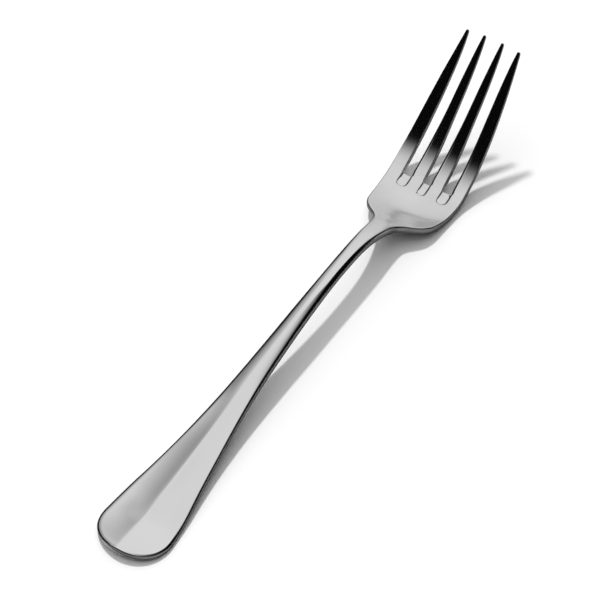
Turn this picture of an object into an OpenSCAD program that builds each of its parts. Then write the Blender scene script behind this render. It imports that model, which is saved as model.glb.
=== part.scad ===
// Four-tine dinner fork, drawn as the regions of its one steel blank: handle, neck, palm and tines.
// X runs from the handle's end to the tips, Y to the left, Z up, and the fork rests on Z = 0.

/* [Handle] */
// Length of the handle, from its end to the neck
handle_l = 100; // [80:1:130]
// Width of the handle where its round end begins
handle_w = 23.8; // [18:0.2:28]
// Length of the handle's round end
handle_end_l = 11.8; // [8:0.2:15]
// Height of the handle's edge wall
handle_edge_t = 1.7; // [1:0.1:2.4]
// Height of the roof that rises from the edges to the centre ridge
ridge_h = 1.5; // [0.4:0.1:2.2]
// Depth by which the roof's flanks are hollowed
hollow_d = 0.8; // [0:0.05:1]
// Lift of the end's upper edge above the place where the handle rests
end_lift = 1.1; // [0.4:0.1:3]

/* [Neck] */
// Length of the neck, from the handle to the palm
neck_l = 40; // [30:1:55]
// Width of the neck at its narrowest place
neck_w = 5.2; // [4:0.1:7]
// Height of the neck's side wall
neck_edge_t = 2.3; // [1.6:0.1:3.2]
// Height of the rounded crown above the neck's side walls
neck_crown_h = 0.6; // [0.2:0.05:0.9]
// Depth of the rounded belly below the neck's side walls
neck_belly_d = 0.45; // [0.2:0.05:0.8]
// Height of the arch, from the table to the upper edge of the neck
arch_h = 12.9; // [9:0.1:18]

/* [Palm] */
// Length of the palm, from the neck to the open part of the slots
palm_l = 23.5; // [18:0.5:32]
// Width of the palm at its widest place
palm_w = 27; // [22:0.2:32]
// Width where the neck meets the palm
shoulder_w = 8.8; // [6.5:0.1:11]
// Height of the palm's edge wall
palm_edge_t = 2; // [1.4:0.1:2.6]
// Height of the edge wall at the shoulders, where the blank is thickest
shoulder_edge_t = 2.4; // [1.9:0.1:3.4]
// Depth of the shallow dish in the palm
dish_d = 0.95; // [0.3:0.05:1.4]
// Depth of the rounded belly under the palm
belly_d = 0.6; // [0.3:0.05:1.2]

/* [Tines] */
// Length of the inner tines beyond the palm
tine_l = 39.9; // [30:0.1:52]
// Length by which the outer tines stop short of the inner ones
outer_back_l = 0.4; // [0:0.1:2]
// Height of the inner tips, from the table to their upper edge
tip_h = 32.6; // [22:0.1:40]
// Width over the four tips
tip_spread = 19.6; // [17:0.1:24]
// Width of one tip
tip_w = 0.95; // [0.6:0.05:1.4]
// Height of a tip's side wall
tip_t = 1.25; // [0.8:0.05:1.8]
// Length over which each tip is rounded off
tip_round_l = 0.6; // [0.3:0.05:1]
// Distance from the fork's middle line to the middle of an inner tip
inner_tip_y = 3.27; // [2.8:0.01:3.8]
// Width of an inner tine at its root
inner_tine_w = 4.7; // [3.6:0.05:5.4]
// Width of the middle slot at its root
mid_slot_w = 2.3; // [1.8:0.1:3.2]
// Width of each side slot at its root
side_slot_w = 3; // [2.2:0.1:3.8]

/* [Slot ramps] */
// Length of the sloping pad at the bottom of each slot
ramp_l = 4.3; // [3:0.1:7]
// Depth of the pad below the upper face, where the open slot begins
ramp_d = 1; // [0.5:0.1:1.4]
// Depth of the pad at its round end
ramp_start_d = 0.15; // [0.05:0.05:0.3]

/* [Edges] */
// Reach of the rounding of the handle's edge
handle_round = 1.1; // [0.3:0.05:1.6]
// Reach of the rounding of the neck's sides
neck_round = 1.3; // [0.8:0.1:1.9]
// Reach of the rounding of the palm's and the tines' edges
head_round = 0.4; // [0.15:0.05:0.5]

/* [Hidden] */

steel = [0.78, 0.78, 0.79];
fork_l = handle_l + neck_l + palm_l + tine_l;
outer_l = tine_l - outer_back_l;
neck_x = handle_l;
palm_x = neck_x + neck_l;
tine_x = palm_x + palm_l;
rest_z = handle_edge_t;
heel_z = palm_edge_t + belly_d;

// Counts of faces along and around each region, and how early in its first step the handle's end starts
handle_steps = 26;
end_steps = 9;
first_step_share = 0.5;
neck_steps = 22;
palm_steps = 20;
tine_steps = 14;
top_faces = 20;
side_faces = 4;
tine_faces = 4;
border_columns = 3;
web_columns = 2;

// Exponents of the rounded end and of the rounded edges
end_power = 2.12;
edge_power = 3.6;
// Widening of the handle per unit of length, which its round end cuts off
end_taper = 0.095;

// Half width of the handle: share of the way to the neck, share of the narrowing still to come
handle_width_shares = [[0, 1], [0.033, 0.97], [0.094, 0.889], [0.206, 0.695], [0.318, 0.524], [0.43, 0.378],
    [0.542, 0.257], [0.654, 0.169], [0.766, 0.104], [0.878, 0.054], [1, 0.022]];
// Widening of the neck towards the palm: share of the neck, share of the widening
neck_width_shares = [[0.3, 0], [0.5, 0.009], [0.65, 0.078], [0.8, 0.267], [0.9, 0.522], [1, 1]];
// Widening of the palm at the shoulders: share of the palm, share of the widening
palm_width_shares = [[0.083, 0.148], [0.162, 0.423], [0.245, 0.67], [0.374, 0.852], [0.549, 0.929],
    [0.77, 0.986], [0.949, 1]];
// Narrowing of the head along the tines: share of the tines, share of the narrowing
tine_width_shares = [[0.168, 0.04], [0.416, 0.183], [0.663, 0.444], [0.842, 0.718], [1, 1]];
// Upper edge of the handle's end: share of the end, share of its lift; the last two bound the flat that it rests on
end_lift_shares = [[0, 1], [0.254, 0.4], [0.51, 0.12], [0.76, 0], [0.98, 0]];
// Upper edge of the handle: share of its length, share of the rise to the arch
handle_rise_shares = [[0.16, 0.019], [0.22, 0.075], [0.3, 0.154], [0.4, 0.252], [0.55, 0.454], [0.7, 0.645],
    [0.85, 0.806], [0.95, 0.901]];
// Upper edge of the neck: share of its length, share of the arch above the palm
neck_rise_shares = [[0.1, 0.956], [0.275, 0.992], [0.45, 0.998], [0.625, 0.963], [0.775, 0.862], [0.9, 0.687]];
// Upper edge of the palm down to its lowest place: share of the palm, share of the arch above it
palm_rise_shares = [[0.043, 0.465], [0.213, 0.31], [0.383, 0.16], [0.574, 0.037], [0.766, 0]];
// Upper edge beyond it: share of the palm, share of the tips' height
toe_rise_shares = [[0.936, 0.018]];
// Upper edge of the tines: share of their length, share of the tips' height
tine_rise_shares = [[0.063, 0.073], [0.175, 0.151], [0.313, 0.264], [0.489, 0.434], [0.689, 0.648],
    [0.84, 0.814], [1, 1]];
// Roof along the handle: share of its length, share of the roof's height, and the softness of its ridge
ridge_shares = [[0, 0.72], [0.04, 0.91], [0.12, 0.91], [0.18, 0.95], [0.25, 1], [0.4, 0.78], [0.5, 0.55],
    [0.6, 0.35], [0.7, 0.15], [0.85, 0], [1, 0]];
crest_shares = [[0, 0.03], [0.12, 0.06], [0.25, 0.08], [0.45, 0.07], [0.58, 0.11], [0.7, 0.37], [0.85, 0.88]];
// Hollow of the roof's flanks and crown of the bend beyond it: share of the handle, share of the depth or height
hollow_shares = [[0, 0.26], [0.04, 0.38], [0.08, 0.61], [0.12, 0.8], [0.18, 1], [0.25, 1], [0.4, 0.54],
    [0.55, 0.24]];
handle_crown_shares = [[0.7, 0.64], [0.85, 1], [1, 0.83]];
// Crown of the neck: share of its length, share of the crown's height
neck_crown_shares = [[0.3, 0.48], [0.6, 0.45], [0.75, 0.52], [0.875, 0.75], [0.975, 1.12]];
// Dish of the palm and of the tines: share of their length, share of the dish's depth
palm_dish_shares = [[0.128, 0], [0.298, 0.65], [0.468, 1], [0.638, 0.72], [0.851, 0.34]];
tine_dish_shares = [[0.063, 0.2], [0.544, 0.28], [1, 0.16]];
// Width of an outer and of an inner tine: share of its length, share of the root's width over the tip's
outer_tine_shares = [[0, 1], [0.28, 0.95], [0.486, 0.86], [0.69, 0.67], [0.896, 0.3], [1, 0]];
inner_tine_shares = [[0, 1], [0.28, 0.86], [0.486, 0.655], [0.69, 0.53], [0.896, 0.26], [1, 0]];
// Places where the cross-section changes, as shares of the handle, the neck, the palm and the tines
pad_share = 0.15;
grip_share = 0.4;
bend_share = 0.6;
shoulder_share = 0.28;
bowl_share = 0.6;
bowl_end_share = 0.9;
mid_tine_share = 0.55;
// Share of the belly that is left half way along the tines
tine_belly_share = 0.5;
// Share of width and height that is left at the very tip
tip_end_share = 0.55;
// Share of the half width that an edge's rounding may take
round_limit_share = 0.8;
// Rows along a slot's pad, as shares of its length, and the share of the slot's width that its wall takes
pad_row_shares = [0, 0.02, 0.07, 0.17, 0.35, 0.57, 0.8, 1];
pad_wall_share = 0.05;

// Smooth curve through points whose first value rises; it never swings past them
function secant(p, i) = (p[i + 1][1] - p[i][1]) / (p[i + 1][0] - p[i][0]);
function tangent(p, i) =
    i == 0 ? secant(p, 0) :
    i == len(p) - 1 ? secant(p, i - 1) :
    let (a = secant(p, i - 1), b = secant(p, i)) a * b <= 0 ? 0 : 2 * a * b / (a + b);
function piece_of(p, x, i = 0) = i >= len(p) - 2 || x < p[i + 1][0] ? i : piece_of(p, x, i + 1);
function cubic(a, b, da, db, t) =
    (2 * t ^ 3 - 3 * t ^ 2 + 1) * a + (t ^ 3 - 2 * t ^ 2 + t) * da + (3 * t ^ 2 - 2 * t ^ 3) * b + (t ^ 3 - t ^ 2) * db;
function smooth(p, x) =
    let (i = piece_of(p, x), h = p[i + 1][0] - p[i][0], t = max(0, min(1, (x - p[i][0]) / h)))
    cubic(p[i][1], p[i + 1][1], h * tangent(p, i), h * tangent(p, i + 1), t);

// Points of a curve from shares: start and length along X, value at share 0 and value added at share 1
function stretch(shares, x0, l, v0, dv) = [for (s = shares) [x0 + s[0] * l, v0 + s[1] * dv]];

width_points = concat(
    stretch(handle_width_shares, handle_end_l, handle_l - handle_end_l, neck_w / 2, (handle_w - neck_w) / 2),
    stretch(neck_width_shares, neck_x, neck_l, neck_w / 2, (shoulder_w - neck_w) / 2),
    stretch(palm_width_shares, palm_x, palm_l, shoulder_w / 2, (palm_w - shoulder_w) / 2),
    stretch(tine_width_shares, tine_x, tine_l, palm_w / 2, (tip_spread - palm_w) / 2));
edge_points = concat(
    stretch(end_lift_shares, 0, handle_end_l, rest_z, end_lift),
    stretch(handle_rise_shares, 0, handle_l, rest_z, arch_h - rest_z),
    stretch(neck_rise_shares, neck_x, neck_l, heel_z, arch_h - heel_z),
    stretch(palm_rise_shares, palm_x, palm_l, heel_z, arch_h - heel_z),
    stretch(toe_rise_shares, palm_x, palm_l, heel_z, tip_h - heel_z),
    stretch(tine_rise_shares, tine_x, tine_l, heel_z, tip_h - heel_z));

// Places along the fork where its cross-section changes
pad_x = handle_l * pad_share;
grip_x = handle_l * grip_share;
bend_x = neck_x + neck_l * bend_share;
shoulder_x = palm_x + palm_l * shoulder_share;
bowl_x = palm_x + palm_l * bowl_share;
bowl_end_x = palm_x + palm_l * bowl_end_share;
mid_tine_x = tine_x + tine_l * mid_tine_share;

wall_points = [[0, handle_edge_t], [pad_x, handle_edge_t], [neck_x, neck_edge_t], [bend_x, neck_edge_t],
    [shoulder_x, shoulder_edge_t], [bowl_x, palm_edge_t], [tine_x, palm_edge_t], [fork_l, tip_t]];
round_points = [[0, handle_round], [grip_x, handle_round], [neck_x, neck_round], [bend_x, neck_round],
    [shoulder_x, head_round], [fork_l, head_round]];
ridge_points = stretch(ridge_shares, 0, handle_l, 0, ridge_h);
crest_points = stretch(crest_shares, 0, handle_l, 0, 1);
// Bow across the blank: a crown where it is positive and a hollow or a dish where it is negative
bow_points = concat(
    stretch(hollow_shares, 0, handle_l, 0, -hollow_d),
    stretch(handle_crown_shares, 0, handle_l, 0, neck_crown_h),
    stretch(neck_crown_shares, neck_x, neck_l, 0, neck_crown_h),
    stretch(palm_dish_shares, palm_x, palm_l, 0, -dish_d),
    stretch(tine_dish_shares, tine_x, tine_l, 0, -dish_d));
belly_points = [[0, 0], [pad_x, 0], [neck_x, neck_belly_d], [bend_x, neck_belly_d], [bowl_x, belly_d],
    [bowl_end_x, belly_d], [mid_tine_x, belly_d * tine_belly_share], [fork_l, 0]];

// Half width of the blank before its end is cut round, and after
function uncut_width(x) = smooth(width_points, x) + end_taper * max(0, handle_end_l - x);
function half_width(x) = uncut_width(x) * (1 - max(0, 1 - x / handle_end_l) ^ end_power) ^ (1 / end_power);
// Cross-section of the blank: the roof across it, from 0 at its edges to 1 at the ridge, and the faces' heights
function roof(c, u) = 1 - (sqrt(u * u + c * c) - c) / (sqrt(1 + c * c) - c);
function upper_z(x, y) =
    let (u = y / uncut_width(x))
    smooth(edge_points, x) + smooth(ridge_points, x) * roof(smooth(crest_points, x), u)
    + smooth(bow_points, x) * (1 - u * u);
function lower_z(x, y) =
    let (u = y / uncut_width(x))
    smooth(edge_points, x) - smooth(wall_points, x) - smooth(belly_points, x) * (1 - u * u);

// Bulge of an edge: points from the upper corner (a = 90) to the lower one (a = -90)
function bulge(a) = [abs(cos(a)) ^ (2 / edge_power), sign(sin(a)) * abs(sin(a)) ^ (2 / edge_power)];
function edge_angles() = [for (i = [1:side_faces - 1]) 90 - 180 * i / side_faces];

// Ring of points round the section at x: tops are [y, drop] from left to right and unders are y from right to left.
// r is the reach of the edges' rounding, and k shrinks the heights about their middle.
function ring(x, tops, unders, r, k = 1) =
    let (n = len(tops) - 1, y1 = tops[0][0], y0 = tops[n][0], mid_y = (y0 + y1) / 2,
        mid_z = (upper_z(x, mid_y) + lower_z(x, mid_y)) / 2,
        upper = [for (t = tops) [x, t[0], mid_z + k * (upper_z(x, t[0]) - t[1] - mid_z)]],
        lower = [for (y = unders) [x, y, mid_z + k * (lower_z(x, y) - mid_z)]],
        low = len(unders) - 1,
        right_z = (upper[n][2] + lower[0][2]) / 2, right_h = (upper[n][2] - lower[0][2]) / 2,
        left_z = (upper[0][2] + lower[low][2]) / 2, left_h = (upper[0][2] - lower[low][2]) / 2)
    concat(upper,
        [for (a = edge_angles()) [x, y0 - r * bulge(a)[0], right_z + right_h * bulge(a)[1]]],
        lower,
        [for (a = edge_angles()) [x, y1 + r * bulge(a)[0], left_z - left_h * bulge(a)[1]]]);
function edge_reach(x, h) = min(smooth(round_points, x), h * round_limit_share);
function evenly(c, faces) = [for (i = [0:faces]) c * (1 - 2 * i / faces)];

// Section at x between y0 (right) and y1 (left), shrunk about its middle by k
function section(x, y0, y1, faces, k = 1) =
    let (m = (y0 + y1) / 2, h = (y1 - y0) / 2 * k, r = edge_reach(x, h))
    ring(x, [for (y = evenly(h - r, faces)) [m + y, 0]], [for (y = evenly(h - r, faces)) m - y], r, k);
function whole_section(x) = section(x, -half_width(x), half_width(x), top_faces);

// Solid through a row of rings that all have the same number of points
module loft(rings) {
    n = len(rings[0]);
    last = len(rings) - 1;
    faces = concat(
        [[for (i = [0:n - 1]) i]],
        [[for (i = [0:n - 1]) last * n + n - 1 - i]],
        [for (k = [0:last - 1], i = [0:n - 1]) [k * n + i, (k + 1) * n + i, (k + 1) * n + (i + 1) % n]],
        [for (k = [0:last - 1], i = [0:n - 1]) [k * n + i, (k + 1) * n + (i + 1) % n, k * n + (i + 1) % n]]);
    translate([-fork_l / 2, 0, 0]) polyhedron([for (r = rings) each r], faces);
}

module handle() {
    flat_x = [for (i = [3, 4]) end_lift_shares[i][0] * handle_end_l];
    end_x = [for (i = concat([first_step_share], [for (k = [1:end_steps]) k])) flat_x[0] * (i / end_steps) ^ 2];
    shaft_x = [for (i = [0:handle_steps]) flat_x[1] + (handle_l - flat_x[1]) * i / handle_steps];
    color(steel) loft([for (x = concat(end_x, shaft_x)) whole_section(x)]);
}

module neck() {
    color(steel) loft([for (i = [0:neck_steps]) whole_section(neck_x + neck_l * i / neck_steps)]);
}

side_slot_y = mid_slot_w / 2 + inner_tine_w + side_slot_w / 2;
ramp_x = tine_x - ramp_l;

// Sloping pad at the bottom of a slot: its half width at x, rounded towards the heel, and its depth
function pad_reach(x, w) =
    let (t = min(1, max(pad_row_shares[1] * ramp_l, x - ramp_x) / (w / 2))) w / 2 * sqrt(1 - (1 - t) ^ 2);
function pad_depth(x) = x <= ramp_x ? 0 : ramp_start_d + (ramp_d - ramp_start_d) * (x - ramp_x) / ramp_l;
function pad_columns(x, y, w) =
    let (h = pad_reach(x, w), i = h - pad_wall_share * w, d = pad_depth(x))
    [[y + h, 0], [y + i, d], [y, d], [y - i, d], [y - h, 0]];
function between(a, b, n) = [for (i = [1:n]) [a + (b - a) * i / (n + 1), 0]];

// Columns over the palm from left to right, as they lie where the tines begin
function palm_columns(x, c) =
    let (s = side_slot_y, side_h = pad_reach(x, side_slot_w), mid_h = pad_reach(x, mid_slot_w))
    concat([[c, 0]], between(c, s + side_h, border_columns), pad_columns(x, s, side_slot_w),
        between(s - side_h, mid_h, web_columns), pad_columns(x, 0, mid_slot_w),
        between(-mid_h, side_h - s, web_columns), pad_columns(x, -s, side_slot_w),
        between(-s - side_h, -c, border_columns), [[-c, 0]]);
function palm_section(x) =
    let (w = half_width(x), r = edge_reach(x, w), c = w - r, end_c = half_width(tine_x) - head_round)
    ring(x, [for (t = palm_columns(x, end_c)) [t[0] * c / end_c, t[1]]], [for (y = evenly(c, top_faces)) -y], r);

module palm() {
    heel_xs = [for (i = [0:palm_steps - 1]) palm_x + (ramp_x - palm_x) * i / palm_steps];
    pad_xs = [for (s = pad_row_shares) ramp_x + s * ramp_l];
    color(steel) loft([for (x = concat(heel_xs, pad_xs)) palm_section(x)]);
}

// Right and left edge of the tines on the left half of the fork, at share s of their length
function inner_edges(s) =
    let (m = (mid_slot_w + inner_tine_w) / 2, y = m + (inner_tip_y - m) * s,
        w = tip_w + (inner_tine_w - tip_w) * smooth(inner_tine_shares, s))
    [y - w / 2, y + w / 2];
function outer_edges(s) =
    let (w0 = palm_w / 2 - side_slot_y - side_slot_w / 2, w = tip_w + (w0 - tip_w) * smooth(outer_tine_shares, s),
        y = half_width(tine_x + s * outer_l))
    [y - w, y];

// One tine of length l, given its edges for each share of its length, and the side it lies on
module tine(edges, l, side) {
    shares = tine_shares(l);
    rings = [for (i = [0:len(shares) - 1])
        let (e = side > 0 ? edges[i] : [-edges[i][1], -edges[i][0]],
            k = i == len(shares) - 1 ? tip_end_share : 1)
        section(tine_x + shares[i] * l, e[0], e[1], tine_faces, k)];
    color(steel) loft(rings);
}
function tine_shares(l) = concat([for (i = [0:tine_steps]) (1 - tip_round_l / l) * i / tine_steps], [1]);

module tine_outer_left() { tine([for (s = tine_shares(outer_l)) outer_edges(s)], outer_l, 1); }
module tine_inner_left() { tine([for (s = tine_shares(tine_l)) inner_edges(s)], tine_l, 1); }
module tine_inner_right() { tine([for (s = tine_shares(tine_l)) inner_edges(s)], tine_l, -1); }
module tine_outer_right() { tine([for (s = tine_shares(outer_l)) outer_edges(s)], outer_l, -1); }

handle();
neck();
palm();
tine_outer_left();
tine_inner_left();
tine_inner_right();
tine_outer_right();
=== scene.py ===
import math

import bpy
import numpy as np
from mathutils import Matrix


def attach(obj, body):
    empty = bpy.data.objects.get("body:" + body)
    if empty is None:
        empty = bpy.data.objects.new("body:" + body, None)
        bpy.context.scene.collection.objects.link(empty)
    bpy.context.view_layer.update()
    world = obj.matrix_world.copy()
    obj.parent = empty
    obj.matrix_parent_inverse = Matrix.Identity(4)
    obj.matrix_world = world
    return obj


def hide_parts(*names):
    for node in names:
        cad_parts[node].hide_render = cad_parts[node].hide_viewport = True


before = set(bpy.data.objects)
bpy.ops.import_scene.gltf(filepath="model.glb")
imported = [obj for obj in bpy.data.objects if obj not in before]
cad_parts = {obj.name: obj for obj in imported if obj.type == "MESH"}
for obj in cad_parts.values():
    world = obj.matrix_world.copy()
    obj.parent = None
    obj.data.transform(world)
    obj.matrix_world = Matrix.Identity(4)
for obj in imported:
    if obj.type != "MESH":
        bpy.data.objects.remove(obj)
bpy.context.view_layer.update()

# Handle
# The broad end of the one steel blank that the whole fork is stamped from, as thick as a coin at its edge.
# Rolling leaves a soft ridge down its middle, and its rounded end curls up a little from where it rests.
handle_end = 11.8
end_power = 2.12
end_taper = 0.095
neck_start = 100.0
palm_start = 140.0
tines_start = 163.5
outer_tips = 203.0
tips = 203.4

# Tables of (place, value), with places along the fork from the handle's very end. All values but those of
# softness and power are in millimetres.
half_widths = [
    (11.8, 11.9), (14.69, 11.62), (20.08, 10.87), (29.96, 9.06), (39.83, 7.48), (49.71, 6.12),
    (59.59, 4.99), (69.47, 4.17), (79.35, 3.57), (89.22, 3.11), (100.0, 2.8),
    (112.0, 2.6), (120.0, 2.62), (126.0, 2.74), (132.0, 3.08), (136.0, 3.54), (140.0, 4.42),
    (141.95, 5.75), (143.8, 8.25), (145.75, 10.5), (148.8, 12.15), (152.9, 12.85), (158.1, 13.37),
    (162.3, 13.5), (170.2, 13.35), (180.1, 12.82), (189.97, 11.85), (197.08, 10.83), (203.4, 9.78),
]
edge_heights = [
    (0.0, 2.77), (3.0, 2.19), (6.0, 1.93), (9.0, 1.8), (12.0, 1.75), (16.0, 1.91), (22.0, 2.54),
    (30.0, 3.42), (40.0, 4.54), (55.0, 6.8), (70.0, 8.93), (85.0, 10.73), (95.0, 11.79), (104.0, 12.45),
    (111.0, 12.81), (118.0, 12.88), (125.0, 12.52), (131.0, 11.48), (136.0, 9.69), (141.0, 7.4),
    (145.0, 5.81), (149.0, 4.27), (153.5, 3.01), (158.0, 2.63), (162.0, 3.17), (166.0, 4.82),
    (170.5, 7.17), (176.0, 10.56), (183.0, 15.65), (191.0, 22.07), (197.0, 27.07), (203.4, 32.65),
]
edge_walls = [
    (0.0, 1.73), (15.0, 1.73), (100.0, 2.3), (124.0, 2.3), (146.58, 2.4), (154.1, 2.0), (163.5, 2.0),
    (203.4, 1.25),
]
edge_reaches = [
    (0.0, 1.2), (15.0, 1.59), (40.0, 1.03), (55.0, 1.24), (70.0, 0.99), (85.0, 0.74), (100.0, 1.01),
    (112.0, 1.5), (124.0, 1.25), (132.0, 1.2), (138.0, 1.4), (144.0, 1.15), (149.0, 1.2),
    (155.0, 0.5), (170.0, 0.36),
]
ridge_heights = [
    (0.0, 1.08), (4.0, 1.36), (8.0, 1.37), (12.0, 1.36), (18.0, 1.43), (25.0, 1.53), (40.0, 1.17),
    (50.0, 0.82), (60.0, 0.53), (70.0, 0.22), (85.0, 0.0), (100.0, 0.0),
]
crest_softness = [
    (0.0, 0.03), (12.0, 0.06), (25.0, 0.08), (45.0, 0.07), (58.0, 0.11), (70.0, 0.38), (85.0, 0.88),
]
bows = [
    (0.0, -0.21), (4.0, -0.3), (8.0, -0.49), (12.0, -0.64), (18.0, -0.8), (25.0, -0.81), (40.0, -0.43),
    (55.0, -0.2), (70.0, 0.38), (85.0, 0.59), (100.0, 0.5), (112.0, 0.29), (124.0, 0.27), (130.0, 0.31),
    (135.0, 0.45), (139.0, 0.67), (143.0, 0.03), (147.0, -0.62), (151.0, -0.93), (155.0, -0.68),
    (160.0, -0.32), (166.0, -0.19), (185.0, -0.26), (203.0, -0.15),
]
left_powers = [(0.0, 3.6), (4.0, 3.6), (12.0, 2.6), (60.0, 2.6), (92.0, 3.6), (203.4, 3.6)]
right_powers = [(0.0, 3.6), (90.0, 3.6), (106.0, 2.5), (122.0, 2.5), (136.0, 3.6), (203.4, 3.6)]
belly_depths = [
    (0.0, 0.0), (15.0, 0.0), (100.0, 0.45), (124.0, 0.45), (154.1, 0.63), (161.15, 0.63), (185.22, 0.3),
    (203.4, 0.0),
]


def smooth(points, x):
    """Curve through points of (place, value) that never swings past them: a cubic between each two,
    whose slope at an inner point is the harmonic mean of the slopes of its two chords, or zero where one
    chord rises and the other falls."""
    place, value = np.array(points).T
    gap = np.diff(place)
    chord = np.diff(value) / gap
    before = chord[:-1]
    after = chord[1:]
    same_way = before * after > 0
    total = np.where(same_way, before + after, 1.0)
    inner = np.where(same_way, 2 * before * after / total, 0.0)
    slope = np.concatenate([chord[:1], inner, chord[-1:]])
    i = np.clip(np.searchsorted(place, x, side="right") - 1, 0, len(gap) - 1)
    t = np.clip((x - place[i]) / gap[i], 0, 1)
    rise = (3 - 2 * t) * t * t * (value[i + 1] - value[i])
    bend = t * (1 - t) * gap[i] * ((1 - t) * slope[i] - t * slope[i + 1])
    return value[i] + rise + bend


def natural(points, x):
    """Curve through points of (place, value) whose curvature runs on without a jump and is zero at both
    ends: a cubic between each two, found from the rule that slope and curvature agree where two meet."""
    place, value = np.array(points).T
    gap = np.diff(place)
    chord = np.diff(value) / gap
    inner = np.arange(1, len(place) - 1)
    rule = np.eye(len(place))
    rule[inner, inner - 1] = gap[:-1]
    rule[inner, inner] = 2 * (gap[:-1] + gap[1:])
    rule[inner, inner + 1] = gap[1:]
    bend = np.linalg.solve(rule, np.concatenate([[0], 6 * np.diff(chord), [0]]))
    i = np.clip(np.searchsorted(place, x, side="right") - 1, 0, len(gap) - 1)
    back = x - place[i]
    ahead = place[i + 1] - x
    curve = (bend[i] * ahead ** 3 + bend[i + 1] * back ** 3) / (6 * gap[i])
    line = value[i] * ahead + value[i + 1] * back
    return curve + line / gap[i] - gap[i] * (bend[i] * ahead + bend[i + 1] * back) / 6


def uncut_width(x):
    """Half of the blank's width, as if its end went on straight."""
    return smooth(half_widths, x) + end_taper * np.maximum(handle_end - x, 0)


def half_width(x):
    """Half of the blank's width: the uncut blank, rounded at the handle's end by an ellipse of its power."""
    turn = np.clip(1 - x / handle_end, 0, 1)
    return uncut_width(x) * (1 - turn ** end_power) ** (1 / end_power)


def edge_reach(x):
    """Reach of the rounding of the blank's edge, which leaves at least a twentieth of the half width."""
    return np.minimum(smooth(edge_reaches, x), 0.95 * half_width(x))


def upper_height(x, y):
    """Height of the upper face: the edge's height, plus a roof with straight flanks and a softened crest,
    plus a bow across, which is a crown where it is positive and a dish where it is negative."""
    u = y / uncut_width(x)
    crest = smooth(crest_softness, x)
    away = (np.sqrt(u * u + crest ** 2) - crest) / (np.sqrt(1 + crest ** 2) - crest)
    return natural(edge_heights, x) + smooth(ridge_heights, x) * (1 - away) + smooth(bows, x) * (1 - u * u)


def lower_height(x, y):
    """Height of the lower face: the edge's height less its wall, less the belly, a parabola across."""
    u = y / uncut_width(x)
    return natural(edge_heights, x) - smooth(edge_walls, x) - smooth(belly_depths, x) * (1 - u * u)


nudge = 0.001
rim_turns = np.radians(np.linspace(90, -90, 25))[1:-1]


def rim_shape(top, under, fall, rise, power):
    """Section of a rounded edge, an ellipse of some power: reach outwards as a share, and height. It leaves
    each face at the face's own slope, by which that face would fall or rise over the reach."""
    out = np.abs(np.cos(rim_turns)) ** (2 / power)
    up = np.sign(np.sin(rim_turns)) * np.abs(np.sin(rim_turns)) ** (2 / power)
    half = (top - under) / 2
    steepest = 0.8 * half
    fall = np.minimum(fall, steepest)
    rise = np.minimum(rise, steepest)
    high = top - fall * out - (half - fall) * (1 - up)
    low = under + rise * out + (half - rise) * (1 + up)
    return out, np.where(up > 0, high, low)


def closed_ring(x, y, out_x, out_y, reach, across, drop):
    """One ring round the blank for each station along it. The outline's point (x, y) is moved inwards by the
    edge's reach, the upper face runs between the two moved points, and the lower face runs back. A rounded
    rim joins them at each side, moved outwards along (out_x, out_y). Across holds the places of the columns
    as shares of the corner's, from 1 to -1 for the upper face and back for the lower one. The handle's left
    rim and the neck's right rim are polished rounder than the rest."""
    x, y, out_x, out_y, reach = (a[:, None] for a in (x, y, out_x, out_y, reach))
    corner_x = x - reach * out_x
    corner_y = y - reach * out_y
    top_y = corner_y * across[0]
    under_y = corner_y * across[1]
    top_z = upper_height(corner_x, top_y) - drop
    under_z = lower_height(corner_x, under_y)
    ahead = (corner_x + nudge * out_x, corner_y + nudge * out_y)
    behind = (corner_x - nudge * out_x, corner_y - nudge * out_y)
    fall = reach * (upper_height(*behind) - upper_height(*ahead)) / (2 * nudge)
    rise = reach * (lower_height(*ahead) - lower_height(*behind)) / (2 * nudge)
    upper = np.stack([corner_x + 0 * top_y, top_y, top_z], 2)
    lower = np.stack([corner_x + 0 * under_y, under_y, under_z], 2)
    rims = []
    for way, power in ((-1, smooth(right_powers, x)), (1, smooth(left_powers, x))):
        out, rim_z = rim_shape(top_z[:, -1:], under_z[:, :1], fall, rise, power)
        rim_x = corner_x + reach * out_x * out
        rim_y = way * (corner_y + reach * out_y * out)
        rims.append(np.stack([rim_x, rim_y, rim_z], 2))
    return np.concatenate([upper, rims[0], lower, rims[1][:, ::-1]], 1)


def outline_ring(x, across, drop=0.0):
    """Rings at places along the blank beyond the handle's end, where the outline is the half width at x."""
    stride = 0.02
    slope = (half_width(x + stride) - half_width(x - stride)) / (2 * stride)
    length = np.sqrt(1 + slope ** 2)
    return closed_ring(x, half_width(x), -slope / length, 1 / length, edge_reach(x), across, drop)


def end_ring(turn, across):
    """Rings round the handle's end. The turn runs from 0 at its very end to 90 degrees where the straight
    blank begins, and gives the point of the outline and the direction that is square to it."""
    power = 2 / end_power
    x = handle_end * (1 - np.cos(turn) ** power)
    width = uncut_width(x)
    out_x = end_taper * handle_end * np.sin(turn) ** 2 - width * np.cos(turn) ** (2 - power)
    out_y = handle_end * np.sin(turn) ** (2 - power)
    length = np.hypot(out_x, out_y)
    reach = smooth(edge_reaches, x)
    return closed_ring(x, width * np.sin(turn) ** power, out_x / length, out_y / length, reach, across, 0.0)


def direction(before, here, after):
    """Direction of a curve at a point, from its two neighbours, each weighed by how near it is."""
    back = here - before
    ahead = after - here
    back_l = np.maximum(np.linalg.norm(back, axis=-1, keepdims=True), 1e-9)
    ahead_l = np.maximum(np.linalg.norm(ahead, axis=-1, keepdims=True), 1e-9)
    return back * ahead_l / back_l + ahead * back_l / ahead_l


mm_per_metre = 1000


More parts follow.
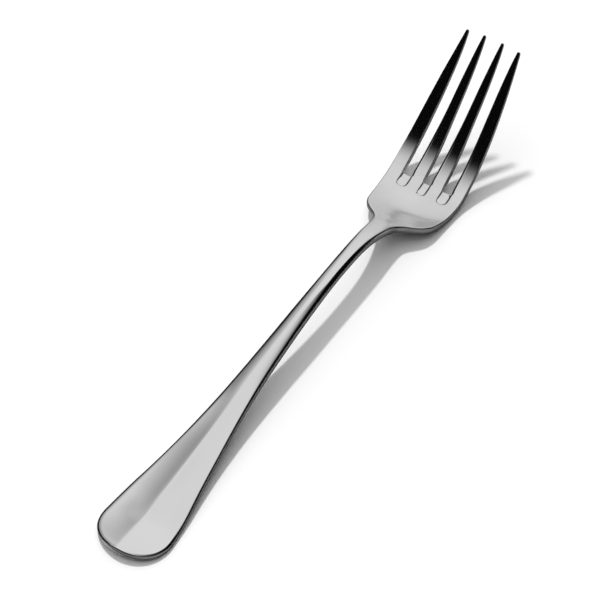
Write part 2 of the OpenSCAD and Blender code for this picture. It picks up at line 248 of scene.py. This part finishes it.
def steel_piece(name, rings, before, after, node):
    """Closed mesh through rings of points, in millimetres along the fork, with a flat face over each open
    end. Before and after are the rings a hair to each side, and give the true slope for smooth shading.
    Points that fall together, as where a rim closes at the very end, become one. The direction square to the
    surface is the cross product of the one round the ring and the one along the fork."""
    stations, count = rings.shape[:2]
    around = direction(np.roll(rings, 1, 1), rings, np.roll(rings, -1, 1))
    square = np.cross(around, after - before).reshape(-1, 3)
    size = np.linalg.norm(square, axis=1, keepdims=True)
    square = np.where(size > 1e-12, square / np.maximum(size, 1e-12), 0)
    points = (rings.reshape(-1, 3) - [tips / 2, 0, 0]) / mm_per_metre
    first_use, use = np.unique(np.round(points, 8), axis=0, return_index=True, return_inverse=True)[1:]
    use = use.ravel()
    i = np.arange(stations - 1)[:, None] * count
    j = np.arange(count)[None, :]
    k = (j + 1) % count
    quads = np.stack([i + j, i + k, i + count + k, i + count + j], 2).reshape(-1, 4)
    joined = use[quads]
    kept = joined != np.roll(joined, 1, 1)
    whole = kept.sum(1) > 2
    ends = [np.arange(count)[::-1], (stations - 1) * count + np.arange(count)]
    ends = [e for e in ends if len(np.unique(use[e])) > count // 2]
    faces = [f[m].tolist() for f, m in zip(joined[whole], kept[whole])] + [use[e].tolist() for e in ends]
    shading = [square[quads[whole][kept[whole]]]]
    middle_x = rings[stations // 2, 0, 0]
    for e in ends:
        outward = np.sign(rings[e[0] // count, 0, 0] - middle_x)
        shading.append(np.tile([outward, 0, 0], (count, 1)))
    mesh = bpy.data.meshes.new(name)
    mesh.from_pydata(points[first_use].tolist(), [], faces)
    mesh.polygons.foreach_set("use_smooth", np.ones(len(faces), bool))
    mesh.normals_split_custom_set(np.concatenate(shading).tolist())
    mesh.materials.append(polished_steel)
    piece = bpy.data.objects.new(name, mesh)
    bpy.context.scene.collection.objects.link(piece)
    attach(piece, "root")
    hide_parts(node)
    return piece


# Stainless steel, polished along its length: faint haze where it has been wiped, fine polishing lines along
# the fork, and a very slight waviness. The heel, from the neck's bend to the palm, is duller. Sizes are in
# metres, as the Object coordinates are.
polished_steel = bpy.data.materials.new("polished_steel")
polished_steel.use_nodes = True
steel_nodes = polished_steel.node_tree.nodes
steel_links = polished_steel.node_tree.links
steel = steel_nodes["Principled BSDF"]
steel.inputs["Metallic"].default_value = 1.0
place = steel_nodes.new("ShaderNodeTexCoord").outputs["Object"]


def steel_noise(scale, stretch, detail):
    """Noise on the Object coordinates. The stretch divides its frequency along the fork."""
    spread = steel_nodes.new("ShaderNodeMapping")
    spread.inputs["Scale"].default_value = (scale / stretch, scale, scale)
    steel_links.new(place, spread.inputs["Vector"])
    noise = steel_nodes.new("ShaderNodeTexNoise")
    noise.inputs["Scale"].default_value = 1.0
    noise.inputs["Detail"].default_value = detail
    noise.inputs["Roughness"].default_value = 0.55
    steel_links.new(spread.outputs["Vector"], noise.inputs["Vector"])
    return noise.outputs["Fac"]


def steel_range(value, low, high):
    """Maps the middle range of a noise to two values."""
    ramp = steel_nodes.new("ShaderNodeMapRange")
    ramp.inputs["From Min"].default_value = 0.3
    ramp.inputs["From Max"].default_value = 0.7
    ramp.inputs["To Min"].default_value = low
    ramp.inputs["To Max"].default_value = high
    steel_links.new(value, ramp.inputs["Value"])
    return ramp.outputs[0]


haze = steel_noise(90, 1.6, 3)
polish_lines = steel_noise(5200, 40, 2)
waviness = steel_noise(260, 2.5, 1)
tint = steel_nodes.new("ShaderNodeCombineColor")
tone = steel_range(haze, 0.788, 0.770)
steel_links.new(tone, tint.inputs["Red"])
steel_links.new(tone, tint.inputs["Green"])
steel_links.new(tone, tint.inputs["Blue"])
steel_links.new(tint.outputs["Color"], steel.inputs["Base Color"])
along = steel_nodes.new("ShaderNodeSeparateXYZ")
steel_links.new(place, along.inputs[0])
heel_haze = steel_nodes.new("ShaderNodeFloatCurve")
heel_place = steel_nodes.new("ShaderNodeMapRange")
heel_place.inputs["From Min"].default_value = 0.020
heel_place.inputs["From Max"].default_value = 0.064
steel_links.new(along.outputs["X"], heel_place.inputs["Value"])
steel_links.new(heel_place.outputs[0], heel_haze.inputs["Value"])
curve = heel_haze.mapping.curves[0]
curve.points[0].location = (0, 0)
curve.points[1].location = (1, 0)
curve.points.new(0.35, 1)
curve.points.new(0.7, 1)
heel_haze.mapping.update()
fine = steel_nodes.new("ShaderNodeMath")
fine.operation = "ADD"
steel_links.new(steel_range(haze, 0.065, 0.1), fine.inputs[0])
steel_links.new(steel_range(polish_lines, -0.01, 0.01), fine.inputs[1])
rough = steel_nodes.new("ShaderNodeMath")
rough.operation = "MULTIPLY_ADD"
rough.inputs[1].default_value = 0.13
steel_links.new(heel_haze.outputs[0], rough.inputs[0])
steel_links.new(fine.outputs[0], rough.inputs[2])
steel_links.new(rough.outputs[0], steel.inputs["Roughness"])
lines_bump = steel_nodes.new("ShaderNodeBump")
lines_bump.inputs["Strength"].default_value = 0.25
lines_bump.inputs["Distance"].default_value = 0.0000012
steel_links.new(polish_lines, lines_bump.inputs["Height"])
wave_bump = steel_nodes.new("ShaderNodeBump")
wave_bump.inputs["Strength"].default_value = 0.5
wave_bump.inputs["Distance"].default_value = 0.000006
steel_links.new(waviness, wave_bump.inputs["Height"])
steel_links.new(lines_bump.outputs["Normal"], wave_bump.inputs["Normal"])
steel_links.new(wave_bump.outputs["Normal"], steel.inputs["Normal"])

hair = 0.01
hair_turn = 1e-4
even_across = np.linspace(1, -1, 61)
grip_across = [np.sign(even_across) * np.abs(even_across) ** 1.5, np.linspace(-1, 1, 25)]
end_turns = np.radians(90 * np.linspace(0, 1, 41)[:-1] ** 1.2)
shaft_x = np.linspace(handle_end, neck_start, 180)


def handle_rings(turns, x):
    """Rings round the handle: those of its end, at turns, and those of its shaft, at places x."""
    return np.concatenate([end_ring(turns, grip_across), outline_ring(x, grip_across)])


handle_before = handle_rings(np.maximum(end_turns - hair_turn, 0), shaft_x - hair)
handle_after = handle_rings(end_turns + hair_turn, shaft_x + hair)
steel_piece("fork_handle", handle_rings(end_turns, shaft_x), handle_before, handle_after, "handle")

# Neck
# The narrow, thick middle of the blank, with rounded sides. The press bends it into an arch that stands
# clear of the table.
neck_x = np.linspace(neck_start, palm_start, 120)
neck_before = outline_ring(neck_x - hair, grip_across)
neck_after = outline_ring(neck_x + hair, grip_across)
steel_piece("fork_neck", outline_ring(neck_x, grip_across), neck_before, neck_after, "neck")

# Palm
# The wide head of the blank, dished by the press so that its belly touches the table. Where each slot
# between the tines begins, a coined pad slopes down into it from a round end. A slot's place is its middle
# and its half width.
pad_length = 4.3
pad_start = tines_start - pad_length
pad_first_depth = 0.15
pad_last_depth = 0.8
slot_places = [(7.35, 1.5), (0.0, 1.15), (-7.35, 1.5)]
widest = 13.5
palm_edge_reach = 0.45


def pad_drop(x, y):
    """Depth of the slots' pads under the palm's face at (x, y). The distance to a slot's edge is measured
    from a straight slot with a round end. Inside it the pad slopes down evenly. Outside it the face rolls
    down along an ellipse until it meets the pad, over 0.14 mm at its left side and 0.86 at its right."""
    down = np.clip((x - pad_start) / pad_length, 0, 1)
    depth = pad_first_depth + (pad_last_depth - pad_first_depth) * down
    roll_power = 2.2
    roll_depth = 0.92
    drop = np.zeros_like(y)
    for middle, reach in slot_places:
        short = np.minimum(x - pad_start - reach, 0)
        far = np.hypot(short, y - middle)
        away = far - reach
        roll_width = 0.5 + 0.36 * (middle - y) / np.maximum(far, 0.01)
        t = np.clip(1 - away / roll_width, 0, 1)
        roll = roll_depth * (1 - (1 - t ** roll_power) ** (1 / roll_power))
        drop = np.maximum(drop, np.where(away > 0, np.minimum(roll, depth), depth))
    return drop


def palm_ring(x):
    """Rings round the palm. The columns of its upper face are packed at the slots' edges and follow their
    round ends, and narrow with the palm towards the neck."""
    lip = np.array([0.36, 0.3, 0.24, 0.18, 0.13, 0.09, 0.06, 0.035, 0.015, 0.0, -0.01, -0.1])
    right_stretch = 2.4
    round_share = 0.94
    corner = (half_width(x) - edge_reach(x))[:, None]
    last = widest - palm_edge_reach
    columns = [np.full((len(x), 1), last)]
    right = last
    for middle, reach in slot_places:
        back = np.clip(pad_start + reach - x, 0, reach * round_share)[:, None]
        edge = np.sqrt(reach ** 2 - back ** 2)
        left_lip = middle + edge + lip
        right_lip = middle - edge - np.where(lip > 0, right_stretch * lip, lip)[::-1]
        inside = middle + (edge - 0.1) * np.linspace(1, -1, 9)[1:-1]
        gap = 20 if middle > 1 else 10
        ahead = right + (left_lip[:, :1] - right) * np.linspace(0, 1, gap)[1:-1]
        columns += [ahead, left_lip, inside, right_lip]
        right = right_lip[:, -1:]
    columns.append(right + (-last - right) * np.linspace(0, 1, 20)[1:])
    across = np.concatenate(columns, 1) / last
    return outline_ring(x, [across, np.linspace(-1, 1, 41)], pad_drop(x[:, None], across * corner))


pad_rows = np.array([
    -0.5, -0.42, -0.36, -0.3, -0.24, -0.18, -0.13, -0.09, -0.06, -0.035, -0.015, 0, 0.01, 0.03, 0.06, 0.1,
    0.15, 0.21, 0.28, 0.36, 0.45, 0.55, 0.66, 0.78, 0.92, 1.08, 1.26, 1.5, 1.9, 2.4, 3.0, 3.6, pad_length])
palm_x = np.concatenate([np.linspace(palm_start, pad_start - 0.6, 90), pad_start + pad_rows])
palm_before = palm_ring(palm_x - hair)
palm_after = palm_ring(palm_x + hair)
steel_piece("fork_palm", palm_ring(palm_x), palm_before, palm_after, "palm")

# Tines
# Four slender prongs blanked out of the head and bent upwards, each tapering in width and thickness to a
# small blunt tip. Their edges are rolled over and polished like the rest.
tip_width = 0.95
outer_root_width = 4.65
inner_root_width = 4.7
inner_root_middle = 3.5
inner_tip_middle = 3.27
outer_shares = [(0, 1), (0.28, 0.95), (0.486, 0.86), (0.69, 0.67), (0.896, 0.3), (1, 0)]
inner_shares = [(0, 1), (0.28, 0.86), (0.486, 0.655), (0.69, 0.53), (0.896, 0.26), (1, 0)]
tip_length = 0.6
tip_power = 3
edge_power = 3.6
slot_edge_power = 2.0
slot_edge_reach = 1.1
left_edge_push = 0.2
right_edge_push = 0.1


def tine_edges(x, inner):
    """Right and left edge of a tine on the left half of the fork. An outer tine follows the blank's
    outline."""
    end = tips if inner else outer_tips
    s = (x - tines_start) / (end - tines_start)
    if inner:
        middle = inner_root_middle + (inner_tip_middle - inner_root_middle) * s
        width = tip_width + (inner_root_width - tip_width) * smooth(inner_shares, s)
        return middle - width / 2, middle + width / 2
    left = half_width(x)
    return left - (tip_width + (outer_root_width - tip_width) * smooth(outer_shares, s)), left


def tine_ring(x, inner, side):
    """Rings round a tine. Each is the part of the blank's section between the tine's edges, with both edges
    rounded. At a slot the left edge is rounder, and the cutting has pushed it out. It has pushed an inner
    tine's right edge in. The last of the tine closes to a blunt tip along an ellipse of its power."""
    end = tips if inner else outer_tips
    right, left = tine_edges(np.minimum(x, end), inner)
    if side < 0:
        right, left = -left, -right
    pushed = np.clip((x - tines_start) / 2, 0, 1)
    if inner:
        right = right + right_edge_push * pushed
    if inner or side < 0:
        left = left + left_edge_push * pushed
    t = np.clip((x - end + tip_length) / tip_length, 0, 1)
    close = ((1 - t ** tip_power) ** (1 / tip_power))[:, None]
    middle = ((right + left) / 2)[:, None]
    half = ((left - right) / 2)[:, None] * close
    x = x[:, None]
    right_reach = np.minimum(smooth(edge_reaches, x), 0.8 * half)
    at_outline = side > 0 and not inner
    left_reach = right_reach if at_outline else np.minimum(slot_edge_reach, 0.8 * half)
    left_corner = middle + half - left_reach
    face_y = left_corner + (middle - half + right_reach - left_corner) * np.linspace(0, 1, 13)
    level = (upper_height(x, middle) + lower_height(x, middle)) / 2
    face_z = level + close * (upper_height(x, face_y) - level)
    under_z = level + close * (lower_height(x, face_y) - level)
    left_power = edge_power if at_outline else slot_edge_power
    rims = []
    for column, way, reach, power in ((-1, -1, right_reach, edge_power), (0, 1, left_reach, left_power)):
        corner = face_y[:, column][:, None]
        ahead = corner + nudge
        behind = corner - nudge
        run = way * reach * close / (2 * nudge)
        fall = run * (upper_height(x, behind) - upper_height(x, ahead))
        rise = run * (lower_height(x, ahead) - lower_height(x, behind))
        out, rim_z = rim_shape(face_z[:, column][:, None], under_z[:, column][:, None], fall, rise, power)
        rims.append((corner + way * reach * out, rim_z))
    y = np.concatenate([face_y, rims[0][0], face_y[:, ::-1], rims[1][0][:, ::-1]], 1)
    z = np.concatenate([face_z, rims[0][1], under_z[:, ::-1], rims[1][1][:, ::-1]], 1)
    return np.stack([x + 0 * y, y, z], 2)


tip_turns = np.sin(np.radians(np.linspace(0, 90, 12)))
for place, inner, side in (("outer_left", False, 1), ("inner_left", True, 1),
                           ("inner_right", True, -1), ("outer_right", False, -1)):
    end = tips if inner else outer_tips
    tip_start = end - tip_length
    tip_x = tip_start + tip_length * tip_turns[1:]
    tine_x = np.concatenate([np.linspace(tines_start, tip_start, 110), tip_x])
    before = tine_ring(tine_x - hair, inner, side)
    after = tine_ring(np.minimum(tine_x + hair, end), inner, side)
    steel_piece("fork_tine_" + place, tine_ring(tine_x, inner, side), before, after, "tine_" + place)

# Floor
# A plain white table top that carries the fork and takes its shadow. The photograph's table is glossy: the
# steel shows it dim and mirroring the room, so that is how it looks to the rays that come off the steel.
table_half = 3
floor_mesh = bpy.data.meshes.new("table_top")
table_corners = [(-1, -1), (1, -1), (1, 1), (-1, 1)]
floor_mesh.from_pydata([(table_half * x, table_half * y, 0) for x, y in table_corners], [], [(0, 1, 2, 3)])
floor = bpy.data.objects.new("table_top", floor_mesh)
bpy.context.scene.collection.objects.link(floor)
table_white = bpy.data.materials.new("table_white")
table_white.use_nodes = True
table_nodes = table_white.node_tree.nodes
table_links = table_white.node_tree.links
chalk = table_nodes["Principled BSDF"]
chalk.inputs["Base Color"].default_value = (0.98, 0.98, 0.98, 1)
chalk.inputs["Roughness"].default_value = 0.9
chalk.inputs["Specular IOR Level"].default_value = 0.0
gloss = table_nodes.new("ShaderNodeBsdfPrincipled")
gloss.inputs["Base Color"].default_value = (0.65, 0.65, 0.65, 1)
gloss.inputs["Metallic"].default_value = 1.0
gloss.inputs["Roughness"].default_value = 0.12
seen_by = table_nodes.new("ShaderNodeLightPath")
share = table_nodes.new("ShaderNodeMath")
share.operation = "MULTIPLY"
share.inputs[1].default_value = 0.84
table_links.new(seen_by.outputs["Is Glossy Ray"], share.inputs[0])
table_mix = table_nodes.new("ShaderNodeMixShader")
table_links.new(share.outputs[0], table_mix.inputs[0])
table_links.new(chalk.outputs[0], table_mix.inputs[1])
table_links.new(gloss.outputs[0], table_mix.inputs[2])
table_links.new(table_mix.outputs[0], table_nodes["Material Output"].inputs["Surface"])
floor_mesh.materials.append(table_white)

# Light
# A white room with dark cards. A large soft panel hangs overhead and a white wall stands ahead of the tips.
# The dark behind and to both sides gives the steel its black tines and edges. A sun that the steel doesn't
# mirror casts the shadow.
world = bpy.data.worlds.new("studio")
bpy.context.scene.world = world
world.use_nodes = True
room = world.node_tree.nodes
room_links = world.node_tree.links
facing = room.new("ShaderNodeTexCoord").outputs["Generated"]


def reach_towards(azimuth, elevation, start, end):
    """Share from 0 to 1 of how far a ray points towards a direction in degrees. It rises smoothly between
    two cosines of the angle between them."""
    a = math.radians(azimuth)
    e = math.radians(elevation)
    dot = room.new("ShaderNodeVectorMath")
    dot.operation = "DOT_PRODUCT"
    dot.inputs[1].default_value = (math.cos(e) * math.cos(a), math.cos(e) * math.sin(a), math.sin(e))
    room_links.new(facing, dot.inputs[0])
    ramp = room.new("ShaderNodeMapRange")
    ramp.interpolation_type = "SMOOTHSTEP"
    ramp.inputs["From Min"].default_value = start
    ramp.inputs["From Max"].default_value = end
    room_links.new(dot.outputs["Value"], ramp.inputs["Value"])
    return ramp.outputs[0]


def combined(operation, first, second, third=None):
    """One Math node on outputs or plain numbers."""
    node = room.new("ShaderNodeMath")
    node.operation = operation
    for socket, value in zip(node.inputs, (first, second, third)):
        if isinstance(value, (int, float)):
            socket.default_value = value
        elif value is not None:
            room_links.new(value, socket)
    return node.outputs[0]


# Rays that point well back past the handle meet neither the panel nor the wall, so the tines turn black.
not_far_back = reach_towards(0, 0, -0.43, -0.21)
panel = combined("MAXIMUM", reach_towards(82.6, 75.1, 0.881, 0.980), reach_towards(129, 61.6, 0.92, 0.96))
panel = combined("MULTIPLY", panel, not_far_back)
panel_brightness = 0.82
# The wall stands between the right card and the left one, and gets brighter upwards.
left_of_right_card = reach_towards(80.3, 0, 0.233, 0.266)
right_of_left_card = reach_towards(-74.9, 0, -0.515, -0.297)
split = room.new("ShaderNodeSeparateXYZ")
room_links.new(facing, split.inputs[0])
wall_brightness = combined("MULTIPLY_ADD", split.outputs["Z"], 0.24, 0.664)
between_cards = combined("MULTIPLY", left_of_right_card, right_of_left_card)
wall = combined("MULTIPLY", combined("MULTIPLY", between_cards, wall_brightness), not_far_back)
# A window high to the left and ahead, a low strip straight ahead, and a faint glow from behind on the right.
window_glow = combined("MULTIPLY", reach_towards(49.7, 49.5, 0.930, 1.081), 1.338)
near_horizon = reach_towards(0, 90, 0.32, 0.14)
low_strip = combined("MULTIPLY", combined("MULTIPLY", reach_towards(-5, 0, 0.66, 0.74), near_horizon), 0.4)
glow_behind = combined("MULTIPLY", reach_towards(-120, 15, 0.6, 0.85), 0.11)
low_lights = combined("MAXIMUM", low_strip, glow_behind)
around = combined("MAXIMUM", combined("MAXIMUM", wall, window_glow), low_lights)
mirrored = combined("MULTIPLY_ADD", combined("SUBTRACT", panel_brightness, around), panel, around)
# The steel mirrors all that. The table gets half of it, and a broad soft light from high on the left.
paths = room.new("ShaderNodeLightPath")
broad_light = combined("MULTIPLY", reach_towards(60, 60, 0.2, 1.0), 1.15)
spread = combined("MULTIPLY_ADD", mirrored, 0.5, broad_light)
lit = combined("ADD", combined("MULTIPLY", mirrored, paths.outputs["Is Glossy Ray"]),
               combined("MULTIPLY", spread, paths.outputs["Is Diffuse Ray"]))
direct = combined("ADD", paths.outputs["Is Camera Ray"], paths.outputs["Is Transmission Ray"])
white_share = combined("ADD", direct, lit)
white_room = room["Background"]
white_room.inputs["Color"].default_value = (1, 1, 1, 1)
cards = room.new("ShaderNodeBackground")
cards.inputs["Color"].default_value = (0.003, 0.003, 0.003, 1)
room_mix = room.new("ShaderNodeMixShader")
room_links.new(white_share, room_mix.inputs[0])
room_links.new(cards.outputs[0], room_mix.inputs[1])
room_links.new(white_room.outputs[0], room_mix.inputs[2])
room_links.new(room_mix.outputs[0], room["World Output"].inputs["Surface"])

sun_elevation = 55.6
sun_azimuth = 41.8
sun = bpy.data.lights.new("window", "SUN")
sun.energy = 1.8
sun.angle = math.radians(4)
lamp = bpy.data.objects.new("window", sun)
lamp.rotation_euler = (0, math.radians(90 - sun_elevation), math.radians(sun_azimuth))
lamp.visible_glossy = False
bpy.context.scene.collection.objects.link(lamp)

# Camera
# At the photograph's viewing angle: behind the handle and to its right, looking down over it.
eye = bpy.data.cameras.new("eye")
eye.sensor_width = 36
eye.lens = 197.918
eye.clip_start = 0.01
eye.clip_end = 50
viewer = bpy.data.objects.new("viewer", eye)
viewer.matrix_world = Matrix((
    (0.56373, 0.65807, -0.49915, -0.496293),
    (-0.82429, 0.40986, -0.39058, -0.383073),
    (-0.05245, 0.63163, 0.77350, 0.775789),
    (0, 0, 0, 1)))
bpy.context.scene.collection.objects.link(viewer)
bpy.context.scene.camera = viewer

bpy.context.scene.view_settings.view_transform = "Standard"
